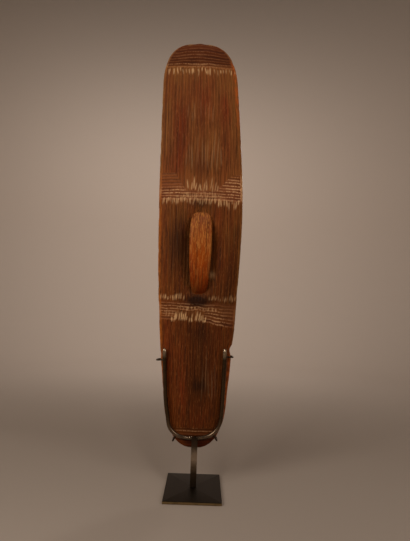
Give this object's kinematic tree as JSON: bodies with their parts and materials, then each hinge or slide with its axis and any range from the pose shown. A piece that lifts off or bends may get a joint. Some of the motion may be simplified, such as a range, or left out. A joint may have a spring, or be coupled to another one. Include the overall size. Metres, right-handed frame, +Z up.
{
  "type": "aboriginal shield",
  "caption": "Long carved wooden shield with a carved handle on its grooved back, held upright by a bent steel rod cradle with hooks on a post and base plate.",
  "frame": {"origin": "centre of the base plate's underside", "axes": "+Z up along the shield, +X to the right as seen from its handle side, +Y away from the handle side"},
  "size_m": [0.1773, 0.14, 0.919],
  "materials": {
    "shield_wood": "hand carved hardwood, worn, rubbed with red ochre, pale dust in the cuts",
    "stand_steel": "blackened steel with a satin wax"
  },
  "bodies": {
    "root": {"shield": "shield_wood", "base_plate": "stand_steel", "post": "stand_steel", "cradle": "stand_steel", "hook_upper_left": "stand_steel", "hook_upper_right": "stand_steel", "hook_lower_left": "stand_steel", "hook_lower_right": "stand_steel"}
  },
  "joints": []
}
